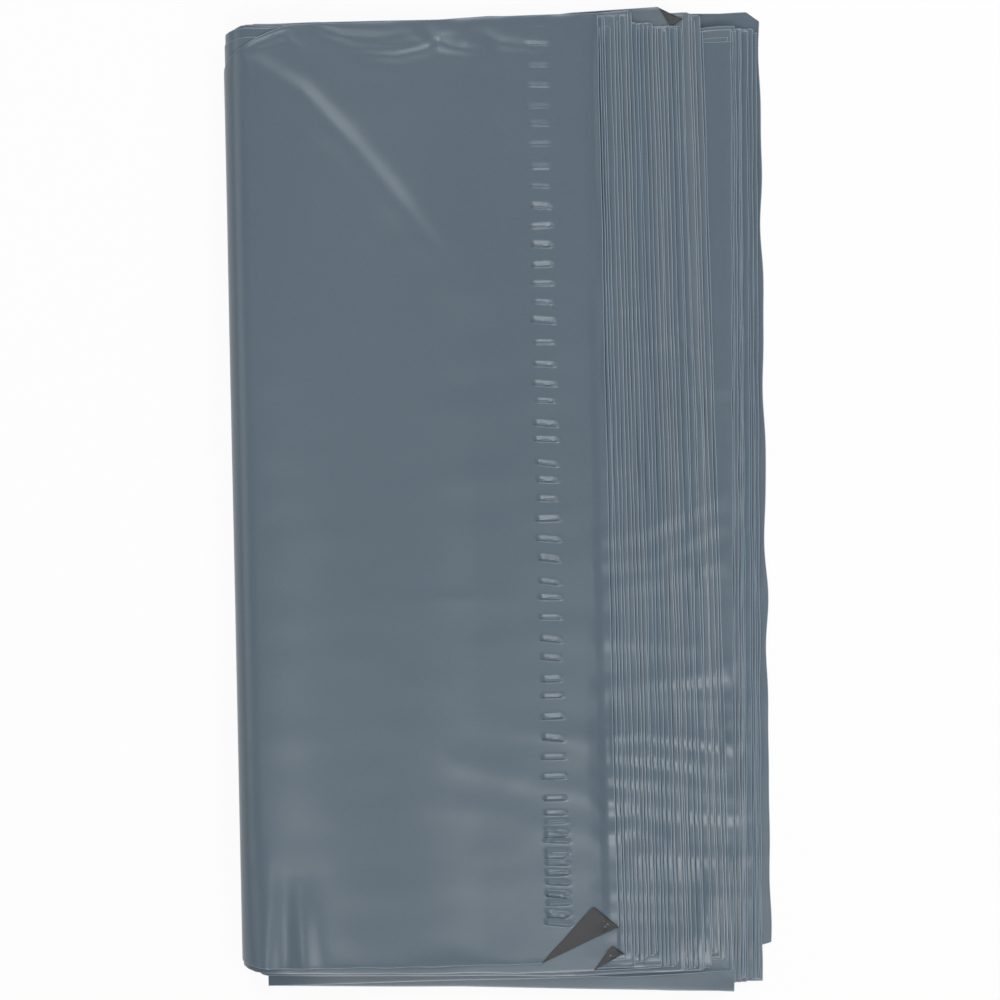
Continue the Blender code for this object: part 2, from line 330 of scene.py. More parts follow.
def flat_rows(bag, lip_rows, panel_step, bend_rows, low_step, end_rows):
    """Rows from the lip to the bottom edge, each as ('a' or 's', its value)."""
    quarter = math.pi / 2 * bag.radius
    first = bag.to_fold - lip_rows[-1] - ROW_MARGIN
    last = bag.to_fold - (bag.length - end_rows[-1]) + ROW_MARGIN
    rows = [("a", value) for value in lip_rows]
    near_bend = min(quarter + FINE_BEND, first) if bag.number == 1 else quarter
    rows += [("s", value) for value in spread(first, near_bend, panel_step)]
    if near_bend > quarter:
        rows += [("s", value) for value in spread(near_bend, quarter, panel_step / 2)[1:]]
    round_bend = spread(quarter, -quarter, 2 * quarter / bend_rows)[1:-1]
    rows += [("s", value) for value in round_bend]
    rows += [("s", value) for value in spread(-quarter, last, low_step)]
    rows += [("a", bag.length - value) for value in end_rows[::-1]]
    return rows


# %% From rows to a closed sheet
def row_points(bag, row, shares):
    """Flat places of one row."""
    kind, value = row
    s = bag.s_at(value, 0.0) if kind == "a" else value
    low, high = bag.half_at(s, -1), bag.half_at(s, 1)
    b = np.where(shares < 0, shares * low, shares * high)
    a = np.full_like(b, value) if kind == "a" else bag.a_on(value, b)
    return a, b


def join_rows(faces, first, second, turned):
    """Faces between two rows, also where one has several times the other's points."""
    coarse, fine = (first, second) if len(first) <= len(second) else (second, first)
    ratio = (len(fine) - 1) // (len(coarse) - 1)
    flip = turned == (coarse is first)
    for i in range(len(coarse) - 1):
        corners = [coarse[i], coarse[i + 1]] + list(fine[ratio * i:ratio * (i + 1) + 1][::-1])
        faces.append(corners if flip else corners[::-1])


def flat_sheet(bag, rows, shares, fineness):
    """The closed sheet: its points a, b, n and its faces. fineness(row) cuts steps up."""
    points, outer, inner = [], [], []
    for row in rows:
        cuts = fineness(row)
        steps = np.arange((len(shares) - 1) * cuts + 1) / cuts
        a, b = row_points(bag, row, np.interp(steps, np.arange(len(shares)), shares))
        on_lip = row[0] == "a" and row[1] <= LIP_LENGTH
        inner_face = LIP_INNER_FACE if on_lip else -OUTER_FACE
        for store, n in ((outer, OUTER_FACE), (inner, inner_face)):
            start = sum(len(block) for block in points)
            points.append(np.stack((a, b, np.full_like(a, n)), axis=1))
            store.append(np.arange(start, start + len(a)))
    faces = []
    for first, second in zip(outer, outer[1:]):
        join_rows(faces, first, second, True)
    for first, second in zip(inner, inner[1:]):
        join_rows(faces, first, second, False)
    for k in range(len(rows) - 1):
        faces.append([outer[k][0], outer[k + 1][0], inner[k + 1][0], inner[k][0]])
        faces.append([outer[k + 1][-1], outer[k][-1], inner[k][-1], inner[k + 1][-1]])
    for upper, lower in ((outer[0], inner[0]), (inner[-1], outer[-1])):
        for j in range(len(upper) - 1):
            faces.append([upper[j + 1], upper[j], lower[j], lower[j + 1]])
    return np.concatenate(points), faces


# %% Steps of the rows and columns
EDGE_STEPS = (0.0, 0.00015, 0.0003, 0.0005, 0.0009, 0.0016, 0.0028)
PLAIN_EDGE_STEPS = (0.0, 0.0002, 0.0005, 0.0011, 0.0026)
FINE_SIDE_FROM = 0.004
FINE_SIDE_TO = 0.036
SHARES_FINE = across(0.0022, EDGE_STEPS)
# the outermost bag has ridges near its upper side, so its columns are halved there
near_side = SHARES_FINE > 1 - FINE_SIDE_TO / (BAG_WIDTH / 2)
near_side &= SHARES_FINE < 1 - FINE_SIDE_FROM / (BAG_WIDTH / 2)
halfway = (SHARES_FINE[1:] + SHARES_FINE[:-1]) / 2
SHARES_FINE = np.sort(np.concatenate((SHARES_FINE, halfway[near_side[1:]])))
SHARES_PLAIN = across(0.0043, PLAIN_EDGE_STEPS)
LIP_ROWS = (
    0.0, 0.00012, 0.0003, 0.00055, 0.0008, 0.00105, 0.0013, 0.00155, 0.0018, 0.0021,
    0.0025, 0.0034, 0.0048, 0.0068, 0.010, 0.022, 0.050, 0.0504,
)
END_ROWS = (0.0, 0.00015, 0.0004, 0.0008, 0.0013, 0.0020, 0.0034, 0.0075, 0.018, 0.030)
print("points across a plain bag:", len(SHARES_PLAIN), "and across the outermost:", len(SHARES_FINE))

# %% [markdown]
# ## Corners turned over
#
# Five corners are folded back on their bag. A turned corner is made while the bag is
# still flat: the sheet is cut along the crease, and what lies past the crease rolls
# round a thin cylinder and comes to lie on the bag. Cutting first keeps the crease a
# clean straight line, whatever way the rows run.

# %% The creases
# bag, end, side, leg along the side, leg along the end; in metres
DOG_EARS = (
    (1, "lip", -1, 0.0366, 0.0152),
    (2, "lip", -1, 0.0168, 0.0072),
    (HIGH_BAG, "lip", 1, 0.0125, 0.0064),
    (1, "bottom", -1, 0.0330, 0.0100),
    (1, "bottom", 1, 0.0060, 0.0045),
)
CREASE_RADIUS = {"lip": 0.00016, "bottom": 0.00011}
EAR_RISE = {1: 0.0009, 2: 0.0007, HIGH_BAG: 0.0014}
EAR_ROWS = (0.0015, 0.006)      # cuts beyond the roll
CUT_AROUND = 0.06
TINY = 1e-7


def crease_of(bag, end, side, leg_side, leg_end):
    """A point of the crease, its direction and the way to the corner past it."""
    edge = 0.0 if end == "lip" else bag.length
    inward = 1 if end == "lip" else -1
    corner_b = bag.half_at(bag.s_at(edge, 0.0), side)
    start = np.array((edge + inward * leg_side, side * bag.half_width))
    stop = np.array((edge, side * (corner_b - leg_end)))
    along = (stop - start) / np.linalg.norm(stop - start)
    corner = np.array((edge, side * corner_b)) - start
    past = corner - along * corner.dot(along)
    return start, along, past / np.linalg.norm(past), np.linalg.norm(past)


def cut_creases(mesh, bag):
    """Cut the flat sheet along each of the bag's creases and beside it."""
    bm = bmesh.new()
    bm.from_mesh(mesh)
    for number, end, side, leg_side, leg_end in DOG_EARS:
        if number != bag.number:
            continue
        start, along, past, reach = crease_of(bag, end, side, leg_side, leg_end)
        roll = math.pi * CREASE_RADIUS[end]
        beyond_roll = tuple(roll + row for row in EAR_ROWS)
        for offset in (0.0, roll / 3, 2 * roll / 3, roll) + beyond_roll:
            if offset > 0.9 * reach:
                continue
            spot = start + past * offset
            middle = Vector(spot)
            near = [f for f in bm.faces if (f.calc_center_median().xy - middle).length < CUT_AROUND]
            edges = {e for f in near for e in f.edges}
            verts = {v for f in near for v in f.verts}
            bmesh.ops.bisect_plane(bm, geom=near + list(edges) + list(verts), dist=TINY,
                                   plane_co=(spot[0], spot[1], 0), plane_no=(past[0], past[1], 0))
    bm.to_mesh(mesh)
    bm.free()


def turn_corners(flat, bag):
    """Roll what lies past each crease over onto the bag."""
    flat = flat.copy()
    for number, end, side, leg_side, leg_end in DOG_EARS:
        if number != bag.number:
            continue
        start, along, past, reach = crease_of(bag, end, side, leg_side, leg_end)
        radius = CREASE_RADIUS[end]
        offset = flat[:, :2] - start
        beyond = offset @ past
        near_end = np.hypot(*(offset - np.outer(offset @ along, along)).T) < 2 * reach
        picked = (beyond > TINY) & near_end
        d, n = beyond[picked], flat[picked, 2]
        turn = np.clip(d / radius, 0, math.pi)
        in_plane = (radius - n) * np.sin(turn) - np.clip(d - math.pi * radius, 0, None)
        base = flat[picked, :2] - np.outer(d, past)
        flat[picked, :2] = base + np.outer(in_plane, past)
        rise = EAR_RISE.get(bag.number, 0) * (d / reach) ** 1.5 if end == "lip" else 0
        flat[picked, 2] = radius - (radius - n) * np.cos(turn) + rise
    return flat


print("corners turned over:", len(DOG_EARS))

# %% [markdown]
# ## Puckers over the adhesive
#
# On the outermost lip the strip of adhesive shows through as a ladder of small bright
# ridges, where the film and the liner have shrunk by different amounts. They repeat
# along the strip with uneven size and place, so Geometry Nodes make them: each ridge is
# a cell of the strip's length, and random values with a fixed seed give the cell its own
# place, width, slant, length and size. A ridge is a ramp, steep on one side and slow on
# the other, because the slow side is what catches a lamp. The tree runs twice: once
# along the whole strip, and once more with closer ridges near its lower end.

# %% Node helpers
def link_value(tree, socket, value):
    """Connect a value to a socket: another socket, or a plain number."""
    if isinstance(value, bpy.types.NodeSocket):
        tree.links.new(value, socket)
    else:
        socket.default_value = value


def math_node(tree, operation, first, second=0.0, third=0.0):
    """A math node with its result."""
    node = tree.nodes.new("ShaderNodeMath")
    node.operation = operation
    for socket, value in zip(node.inputs, (first, second, third)):
        link_value(tree, socket, value)
    return node.outputs[0]


def random_cell(tree, cell, low, high, seed):
    """A random value for a cell number."""
    node = tree.nodes.new("FunctionNodeRandomValue")
    node.data_type = "FLOAT"
    floats = [s for s in node.inputs if s.type == "VALUE"]
    link_value(tree, floats[0], low)
    link_value(tree, floats[1], high)
    link_value(tree, node.inputs["ID"], cell)
    link_value(tree, node.inputs["Seed"], seed)
    return [s for s in node.outputs if s.type == "VALUE"][0]


def smooth_step(tree, value, low, high):
    """0 below low, 1 above high, smooth between."""
    node = tree.nodes.new("ShaderNodeMapRange")
    node.interpolation_type = "SMOOTHSTEP"
    for name, item in (("Value", value), ("From Min", low), ("From Max", high)):
        link_value(tree, node.inputs[name], item)
    return node.outputs[0]


# %% The tree that raises the ridges
# a pair in brackets is the least and the most of a random value
RIDGE_PLACE = (0.36, 0.64)          # share of its cell
RIDGE_SLANT = (-0.05, 0.16)
RIDGE_WIDTH = (0.0008, 0.0012)
RIDGE_SHORTER = (0.0002, 0.0014)
RIDGE_SIZE = (0.88, 1.05)
END_STEP = 0.0006                   # half the length over which a ridge ends
LADDER_FADE = 0.004
WEAK_FROM, WEAK_TO = 0.115, 0.150   # along the bag's width
STEEP_FOOT, STEEP_LENGTH = 1.8, 0.7     # the ramp's steep side, in widths of the ridge
SLOW_FOOT, SLOW_LENGTH = 1.1, 2.2       # and its slow side
TALLER_DOWN = -1.7                  # the ridges grow a little towards the lower end


def pucker_tree():
    """Raise a ladder of ridges along y, on the flat sheet, where x lies in the strip."""
    tree = bpy.data.node_groups.new("pucker_ladder", "GeometryNodeTree")
    sockets = tree.interface
    sockets.new_socket("Sheet", in_out="INPUT", socket_type="NodeSocketGeometry")
    for name in ("Strip Start", "Strip End", "Low End", "High End", "Spacing", "Steepness"):
        sockets.new_socket(name, in_out="INPUT", socket_type="NodeSocketFloat")
    sockets.new_socket("Seed", in_out="INPUT", socket_type="NodeSocketInt")
    sockets.new_socket("Film", in_out="INPUT", socket_type="NodeSocketMaterial")
    sockets.new_socket("Sheet", in_out="OUTPUT", socket_type="NodeSocketGeometry")
    given = tree.nodes.new("NodeGroupInput").outputs
    place = tree.nodes.new("ShaderNodeSeparateXYZ")
    tree.links.new(tree.nodes.new("GeometryNodeInputPosition").outputs[0], place.inputs[0])
    a, b = place.outputs[0], place.outputs[1]
    start, stop = given["Strip Start"], given["Strip End"]
    spacing, seed = given["Spacing"], given["Seed"]

    def chance_of(limits, number):
        """A random value of the cell. Each number gives another one."""
        return random_cell(tree, cell, *limits, math_node(tree, "ADD", seed, number))

    cell = math_node(tree, "FLOOR", math_node(tree, "DIVIDE", b, spacing))
    centre = math_node(tree, "ADD", cell, random_cell(tree, cell, *RIDGE_PLACE, seed))
    centre = math_node(tree, "MULTIPLY", centre, spacing)
    middle = math_node(tree, "MULTIPLY_ADD", math_node(tree, "ADD", start, stop), 0.5)
    from_middle = math_node(tree, "SUBTRACT", a, middle)
    centre = math_node(tree, "MULTIPLY_ADD", from_middle, chance_of(RIDGE_SLANT, 1), centre)
    width = chance_of(RIDGE_WIDTH, 2)
    away = math_node(tree, "DIVIDE", math_node(tree, "SUBTRACT", b, centre), width)
    steep = math_node(tree, "DIVIDE", math_node(tree, "ADD", away, STEEP_FOOT), STEEP_LENGTH)
    slope = math_node(tree, "DIVIDE", math_node(tree, "SUBTRACT", SLOW_FOOT, away), SLOW_LENGTH)
    ramp = math_node(tree, "MAXIMUM", math_node(tree, "MINIMUM", steep, slope), 0.0)
    shorter = chance_of(RIDGE_SHORTER, 3)
    start = math_node(tree, "ADD", start, shorter)
    stop = math_node(tree, "SUBTRACT", stop, shorter)
    rise = smooth_step(tree, a, math_node(tree, "SUBTRACT", start, END_STEP),
                       math_node(tree, "ADD", start, END_STEP))
    fall = smooth_step(tree, a, math_node(tree, "ADD", stop, END_STEP),
                       math_node(tree, "SUBTRACT", stop, END_STEP))
    low, high = given["Low End"], given["High End"]
    low = smooth_step(tree, b, low, math_node(tree, "ADD", low, LADDER_FADE))
    high = smooth_step(tree, b, high, math_node(tree, "SUBTRACT", high, LADDER_FADE))
    size = chance_of(RIDGE_SIZE, 4)
    height = math_node(tree, "MULTIPLY", given["Steepness"], math_node(tree, "MULTIPLY", size, width))
    taller = math_node(tree, "MULTIPLY_ADD", b, TALLER_DOWN, 1.0)
    height = math_node(tree, "MULTIPLY", height, taller)
    strong = smooth_step(tree, b, WEAK_TO, WEAK_FROM)
    weaker = math_node(tree, "MULTIPLY_ADD", strong, 0.5, 0.5)
    for factor in (ramp, rise, fall, low, high, weaker):
        height = math_node(tree, "MULTIPLY", height, factor)
    offset = tree.nodes.new("ShaderNodeCombineXYZ")
    tree.links.new(height, offset.inputs[2])
    moved = tree.nodes.new("GeometryNodeSetPosition")
    tree.links.new(given["Sheet"], moved.inputs["Geometry"])
    tree.links.new(offset.outputs[0], moved.inputs["Offset"])
    real = tree.nodes.new("GeometryNodeRealizeInstances")
    tree.links.new(moved.outputs[0], real.inputs[0])
    painted = tree.nodes.new("GeometryNodeSetMaterial")
    tree.links.new(real.outputs[0], painted.inputs["Geometry"])
    tree.links.new(given["Film"], painted.inputs["Material"])
    out = tree.nodes.new("NodeGroupOutput")
    tree.links.new(painted.outputs[0], out.inputs[0])
    return tree


def run_tree(mesh, tree, values):
    """The mesh as the tree leaves it."""
    carrier = bpy.data.objects.new("carrier", mesh)
    bpy.context.collection.objects.link(carrier)
    modifier = carrier.modifiers.new("nodes", "NODES")
    modifier.node_group = tree
    for item in tree.interface.items_tree:
        if item.item_type == "SOCKET" and item.in_out == "INPUT" and item.name in values:
            modifier[item.identifier] = values[item.name]
    bpy.context.view_layer.update()
    evaluated = carrier.evaluated_get(bpy.context.evaluated_depsgraph_get())
    result = bpy.data.meshes.new_from_object(evaluated)
    bpy.data.objects.remove(carrier)
    return result


ladder = pucker_tree()
print("nodes in the ladder:", len(ladder.nodes))

# %% [markdown]
# ## Waves of the whole bundle
#
# The bundle is soft, so it is nowhere quite flat: long low waves run through all the
# bags at once. A wave that moved one bag alone would push it through its neighbours.
# So the waves are a warp of space: every point is raised by an amount that depends on
# its place and grows through the lower halves of the bags, and the bags keep their order.
# On top of the long waves lie ridges that the real bundle shows: a long one from the
# corner at the fold, short ones beside the puckers, and low ones that cross the fan.

# %% Long waves
WAVE_COUNT = 7


def ridge(x, y, path, widths, heights):
    """A soft ridge along places in millimetres. widths: on its right and left side."""
    total = np.zeros_like(x)
    for k in range(len(path) - 1):
        start, stop = np.array(path[k], float), np.array(path[k + 1], float)
        length = np.linalg.norm(stop - start)
        along = (stop - start) / length
        t = (x - start[0]) * along[0] + (y - start[1]) * along[1]
        off = (x - start[0]) * along[1] - (y - start[1]) * along[0]
        past = np.where(t < 0, -t, np.where(t > length, t - length, 0))
        first, last = (heights[min(j, len(heights) - 1)] for j in (k, k + 1))
        height = first + (last - first) * np.clip(t / length, 0, 1)
        width = np.where(off > 0, widths[0], widths[1])
        total = np.maximum(total, height * np.exp(-(off ** 2 + past ** 2) / width ** 2))
    return total


def above(value):
    """Like the value where it is above 0 and near 0 below, with a smooth turn."""
    return (value + np.sqrt(value ** 2 + 0.09)) / 2


def swell(x, y, seed, scale):
    """Smooth uneven values between about -1 and 1, with waves about scale long."""
    source = random.Random(seed)
    total = np.zeros_like(x)
    for _ in range(WAVE_COUNT):
        heading = source.uniform(0, math.tau)
        length = scale * source.uniform(0.6, 1.6)
        phase = source.uniform(0, math.tau)
        total += np.sin((x * math.cos(heading) + y * math.sin(heading)) / length * math.tau + phase)
    return total / 3.2


# %% Ridges of the outermost bag
# places along each ridge, widths right and left of that way, heights along it; in mm
FILM_RIDGES = (
    (((-108, 202), (-99, 196), (-85, 187), (-66, 166), (-48, 144), (-10, 92)), (9, 5),
     (0.5, 1.0, 1.1, 1.15, 1.1, 0.3)),
    (((-112, 206), (-100, 210), (-90, 214)), (1.8, 1.6), (0.5, 0.6, 0.4)),
    (((-115, 205), (-114, 196)), (1.4, 1.4), (0.35, 0.1)),
    (((-110, 203), (-107, 194)), (1.6, 1.6), (0.4, 0.1)),
    (((-92, 212), (-84, 206)), (1.6, 1.6), (0.35, 0.1)),
    (((-76, 215.5), (-66, 212), (-50, 211), (-38, 213)), (2.6, 1.6), (0.5, 0.75, 0.6, 0.4)),
    (((-62, 208.5), (-46, 207.5), (-33, 209)), (1.4, 1.8), (0.3, 0.45, 0.4)),
    (((-57, 203.5), (-42, 202), (-28, 205), (-18, 211)), (2.6, 2.2), (0.3, 0.7, 0.8, 0.5)),
    (((-30, 215), (-20, 206), (-8, 204)), (2.2, 3), (0.4, 0.8, 0.5)),
    (((-6, 214), (4, 207), (24, 204)), (2.4, 3), (0.4, 0.6, 0.2)),
    (((-106, -150), (-107, -185), (-109, -214)), (6, 6), (0.2, 1.5, 2.4)),
    (((-93, -166), (-92, -190), (-91, -214)), (5, 6.5), (0.2, 1.6, 2.4)),
    (((-44, -211), (-24, -209), (-8, -211)), (4, 5), (0.5, 0.8, 0.5)),
    (((-22, -117), (6, -124)), (4.55, 6.5), (0.25, 0.2)),
    (((-16, -138), (8, -141)), (6.5, 5.2), (0.25, 0.2)),
    (((-12, -159), (6, -158)), (6.5, 5.2), (0.2, 0.15)),
    (((-2, -102), (20, -104), (48, -108)), (4.55, 6.5), (0.15, 0.45, 0.55)),
    (((4, -124), (24, -128), (48, -133)), (5.2, 6.5), (0.2, 0.45, 0.5)),
    (((16, -146), (48, -150)), (6.5, 5.2), (0.2, 0.3)),
    (((-58, -42), (-12, -43)), (2, 2), (0.12, 0.12)),
)
print("ridges of the outermost bag:", len(FILM_RIDGES))

# %% Ridges that cross the fan
FAN_RIDGES = (
    (((40, 101), (60, 96), (78, 88)), (3.38, 5.4), (0.48, 0.69, 0.39)),
    (((42, 80), (64, 82), (84, 72), (98, 64)), (3.38, 4.05), (0.48, 0.77, 0.69, 0.48)),
    (((44, 74), (74, 71)), (2.43, 3.38), (0.48, 0.39)),
    (((76, 58), (98, 50)), (4.05, 4.05), (0.39, 0.48)),
    (((46, -16), (66, -13), (84, -5), (100, 2)), (4.05, 5.4), (0.48, 0.77, 0.69, 0.48)),
    (((46, -28), (70, -26), (98, -12)), (3.38, 4.05), (0.39, 0.59, 0.69)),
    (((50, -40), (98, -28)), (4.05, 5.4), (0.48, 0.69)),
    (((46, -60), (86, -66)), (4.05, 5.4), (0.59, 0.59)),
    (((44, -84), (62, -82), (84, -80), (100, -77)), (4.05, 4.73), (0.59, 0.69, 0.87, 0.77)),
    (((40, -104), (62, -104), (84, -107), (104, -112)), (2.97, 5.4), (0.98, 1.17, 0.98, 0.59)),
    (((44, -112), (66, -114), (96, -122)), (4.05, 5.4), (0.59, 1.07, 0.69)),
    (((42, -122), (70, -127), (104, -134)), (4.05, 5.4), (1.07, 0.98, 0.59)),
    (((46, -136), (74, -139), (104, -143)), (4.05, 5.4), (0.87, 0.77, 0.59)),
    (((44, -150), (60, -147), (74, -154)), (2.7, 4.05), (0.77, 0.87, 0.69)),
    (((60, -160), (104, -164)), (4.05, 5.4), (0.48, 0.69)),
    (((98, -172), (88, -196)), (6.75, 9.45), (0.87, 1.07)),
)
print("ridges across the fan:", len(FAN_RIDGES))

# %% The warp
# height and length of each kind of wave, in millimetres
LONG_WAVE, LONG_LENGTH = 0.25, 110
FINE_WAVE, FINE_LENGTH = 0.08, 30
FAN_WAVE, FAN_LENGTH = 0.22, 14
ALWAYS_UP = 0.3
OUTERMOST_UP = 0.15     # keeps the bag below from touching through
WAVE_LEVEL = 1.2        # how much of a wave stands above its troughs
FAN_START, FAN_FADE = 38, 8
FAN_STRETCH = 0.35      # waves across the fan are longer across than along it


def warp(points, outermost):
    """Raise the points by the bundle's waves. Fine ones show on the outermost bag and the fan."""
    x, y = points[:, 0] * 1000, points[:, 1] * 1000
    on_fan = np.clip((x - FAN_START) / FAN_FADE, 0, 1)
    fine = FINE_WAVE * above(swell(x, y, 6, FINE_LENGTH) + WAVE_LEVEL)
    for path, widths, heights in FILM_RIDGES:
        fine = fine + ridge(x, y, path, widths, heights)
    crossing = FAN_WAVE * above(swell(x * FAN_STRETCH, y, 8, FAN_LENGTH) + WAVE_LEVEL)
    # the waves across the fan are strongest in its lower half
    crossing = crossing * np.clip((y + 20) / -60, 0.4, 1)
    for path, widths, heights in FAN_RIDGES:
        crossing = crossing + ridge(x, y, path, widths, heights)
    height = LONG_WAVE * swell(x, y, 5, LONG_LENGTH) + ALWAYS_UP
    height = height + np.maximum(on_fan, outermost) * fine + on_fan * crossing
    height = height + OUTERMOST_UP * outermost
    upper_half_from = BAG_COUNT * pitch_at(points[:, 0] - BUNDLE_PLACE[0])
    warped = points.copy()
    warped[:, 2] += np.clip(points[:, 2] / upper_half_from, 0, 1) * height / 1000
    return warped


# %% [markdown]
# ## The edges of the film
#
# A cut edge of thin film never lies quite straight or flat. It waves a little, and it
# curls up off the bag below, so that each lip shows a light edge and a dark gap beside
# it. A bag that curls also pushes up the bags that lie on it. So the lift at a place is
# the largest that this bag or any bag under it asks for there, and no two bags cross.

# %% Small waves of one bag
LIP_ROLL = 0.00012
END_ROLL = 0.00006
SIDE_WAVE = 0.00022
CORNER_ROUND = 0.0016
CORNER_CUT = 0.00045


def line_noise(t, seed, scale):
    """Smooth uneven values along a line."""
    source = random.Random(seed)
    total = np.zeros_like(t)
    for _ in range(6):
        length = scale * source.uniform(0.4, 2.0)
        total += np.sin(t / length * math.tau + source.uniform(0, math.tau))
    return total / 3.0


def lip_wave(bag, b):
    """How far a lip's edge wanders off its straight line."""
    seed = 100 + bag.number
    return 0.00010 * line_noise(b, seed, 0.060) + 0.00024 * line_noise(b, seed + 20, 0.18)


def end_wave(bag, b):
    """The same at the bottom edge, which is looser on the outermost bag."""
    loose = 0.00055 if bag.number == 1 else 0.00022
    return loose * line_noise(b, 140 + bag.number, 0.045)


def side_gap(a, b, bag, sign):
    """Distance from one side of the bag."""
    near_end = (a <= LIP_LENGTH + MOUTH_STEP) | (a >= bag.length - END_ROWS[-1])
    s = bag.s_at(a, np.where(near_end, 0.0, b))
    return np.clip(bag.half_at(s, sign) - sign * b, 0, None)


def soften_edges(flat, bag):
    """Wave the cut edges in the plane of the film, and round them over."""
    a, b, n = flat.T.copy()
    seed = 100 + bag.number
    to_end = bag.length - a
    wave = lip_wave(bag, b) * np.exp(-a / 0.010) + end_wave(bag, b) * np.exp(-to_end / 0.008)
    n = n - LIP_ROLL * np.exp(-(a / 0.00022) ** 2) + END_ROLL * np.exp(-(to_end / 0.0002) ** 2)
    for sign in (-1, 1):
        to_side = side_gap(a, b, bag, sign)
        b = b + SIDE_WAVE * line_noise(a, seed + 80 + sign, 0.040) * np.exp(-to_side / 0.005)
        upper = np.where(a < bag.to_fold, 1.0, -1.0)
        n = n - upper * END_ROLL * np.exp(-(to_side / 0.0002) ** 2)
        corner = np.clip(1 - (a + to_side) / CORNER_ROUND, 0, 1) ** 2
        a = a + CORNER_CUT * corner
        b = b - sign * CORNER_CUT * corner
    return np.stack((a + wave, b, n), axis=1)


wander = lip_wave(bags[1], np.linspace(-0.2, 0.2, 401))
print("the second lip wanders by up to, mm:", round(float(np.abs(wander).max()) * 1000, 2))

# %% Which strip of each bag shows
ALONG_FOLD = np.linspace(-0.24, 0.24, 481)


def edge_line(bag, upper):
    """Where a lip's edge or a bottom edge lies, for each place along the fold."""
    b = np.linspace(-bag.half_width, bag.half_width, 400)
    a = lip_wave(bag, b) if upper else bag.length + end_wave(bag, b)
    points = bag.place(np.stack((a, b, np.zeros_like(b)), axis=1))
    order = np.argsort(points[:, 1])
    return np.interp(ALONG_FOLD, points[order, 1], points[order, 0])


lip_lines = np.array([edge_line(bag, True) for bag in bags])
end_lines = np.array([edge_line(bag, False) for bag in bags])
# the widest reach of the bags that lie on each bag
over_lips = np.maximum.accumulate(lip_lines, axis=0)
over_lips = np.vstack((over_lips[:1] - 0.006, over_lips[:-1]))
over_ends = np.maximum.accumulate(end_lines[::-1], axis=0)[::-1]
over_ends = np.vstack((over_ends[1:], over_ends[-1:] - 0.006))
print("widest and mean strip of a lip, mm:", round((lip_lines - over_lips).max() * 1000, 2),
      round((lip_lines - over_lips).mean() * 1000, 2))

# %% [markdown]
# The strip of film between a lip's edge and the cover that lies over it rises like a
# low arch: it leaves the groove beside its cover, and reaches its full height towards
# its edge. In the fan's lower part that rise is short, in its upper part it is longer,
# and the grooves look darker there. Some lips gape over a stretch of their length.

# %% Lift of the open edges
LIP_CURL = (0.00030, 0.00062)       # least and most of a lip
LIP_CURL_WAVE = 0.00014
END_CURL = (0.00020, 0.00045)
END_CURL_WAVE = 0.00010
SIDE_CURL = 0.00042
SIDE_CURL_WAVE = 0.00016
LOW_SIDE_CURL = 0.00018
SIDE_REACH = 0.0010
OPEN_REACH = 0.0024
FULL_ARCH = 0.0010                  # strips narrower than this rise less
ROUNDER_LIPS = (-0.05, 0.0)         # where the arch changes, along the fold
ARCH_POWERS = (12, 5)
OPEN_FADE = 0.010
FAN_SHOWS_FROM = 0.036
ENDS_SHOW_FROM = 0.080

# bag, middle of the open stretch along the fold, half its length, lift; in metres
OPEN_LIPS = (
    (1, 0.170, 0.070, 0.0018), (1, 0.060, 0.050, 0.0008), (1, -0.105, 0.022, 0.0009),
    (3, 0.015, 0.020, 0.0006), (5, 0.030, 0.022, 0.0006), (5, -0.110, 0.030, 0.0006),
    (7, 0.150, 0.030, 0.0006), (9, 0.021, 0.016, 0.0016), (11, 0.010, 0.010, 0.0012),
    (8, -0.140, 0.016, 0.0008), (14, 0.020, 0.030, 0.0008), (14, 0.160, 0.030, 0.0006),
    (16, -0.041, 0.011, 0.0011), (16, -0.100, 0.024, 0.0010), (19, 0.120, 0.040, 0.0007),
    (22, 0.065, 0.007, 0.0011), (22, -0.008, 0.010, 0.0010), (24, -0.034, 0.009, 0.0012),
    (27, 0.040, 0.014, 0.0010), (30, -0.108, 0.021, 0.0016), (29, 0.010, 0.040, 0.0007),
)
print("open stretches of lips:", len(OPEN_LIPS))


def arch(x, y, edges, covers, height):
    """Lift of a strip of film: out of the groove beside its cover, then flat to its edge."""
    edge = np.interp(y, ALONG_FOLD, edges)
    strip = edge - np.interp(y, ALONG_FOLD, covers)
    share = np.clip((edge - x) / np.clip(strip, 1e-5, None), 0, 1)
    height = height * np.clip(strip / FULL_ARCH, 0, 1)
    power = np.interp(y, ROUNDER_LIPS, ARCH_POWERS)
    return height * (1 - share ** power)


def upper_lift(bag, x, y):
    """Lift that one bag's lip and sides ask for on the upper half."""
    k = bag.number - 1
    source = random.Random(400 + bag.number)
    curl = source.uniform(*LIP_CURL) + LIP_CURL_WAVE * line_noise(y, 260 + bag.number, 0.055)
    lift = arch(x, y, lip_lines[k], over_lips[k], np.clip(curl, 0.00015, None))
    a, b, s = bag.unfold(x, y, True)
    for number, middle, half, height in OPEN_LIPS:
        if number == bag.number:
            along = np.exp(-((y - middle) / half) ** 2)
            lift = np.maximum(lift, height * along * np.exp(-(a / OPEN_REACH) ** 2))
    shown = 1.0 if bag.number == 1 else np.clip((x - FAN_SHOWS_FROM) / OPEN_FADE, 0, 1)
    for sign in (-1, 1):
        to_side = np.abs(bag.half_at(s, sign) - sign * b)
        curl = SIDE_CURL + SIDE_CURL_WAVE * line_noise(x, 700 + 2 * bag.number + sign, 0.03)
        lift = np.maximum(lift, shown * curl * np.exp(-to_side / SIDE_REACH))
    return lift


